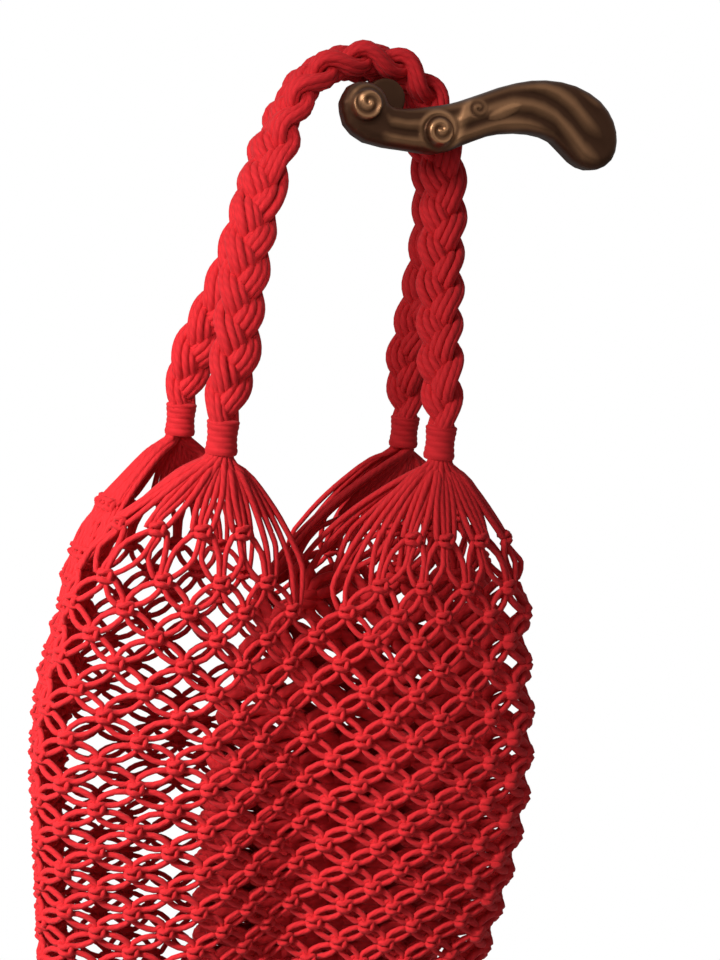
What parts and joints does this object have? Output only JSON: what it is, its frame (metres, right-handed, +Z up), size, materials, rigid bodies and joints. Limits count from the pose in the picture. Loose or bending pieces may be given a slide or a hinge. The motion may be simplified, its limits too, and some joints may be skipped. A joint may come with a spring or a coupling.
{
  "type": "macrame handbag on a door lever",
  "caption": "Knotted cord net bag that hangs by two plaited handles over the neck of a scrolled door lever.",
  "frame": {"origin": "centre of the flat end of the lever's neck, where it meets the door", "axes": "+X along the lever's blade, +Y into the door, +Z up"},
  "size_m": [0.259, 0.103, 0.5538],
  "materials": {
    "cord": "soft matte cord",
    "bronze": "aged dark bronze"
  },
  "bodies": {
    "root": {"lever": "bronze", "net": "cord", "spread_front_right": "cord", "wrap_front_right": "cord", "spread_back_right": "cord", "wrap_back_right": "cord", "spread_back_left": "cord", "wrap_back_left": "cord", "spread_front_left": "cord", "wrap_front_left": "cord", "plait_front_1": "cord", "plait_front_2": "cord", "plait_front_3": "cord", "plait_back_1": "cord", "plait_back_2": "cord", "plait_back_3": "cord"}
  },
  "joints": []
}
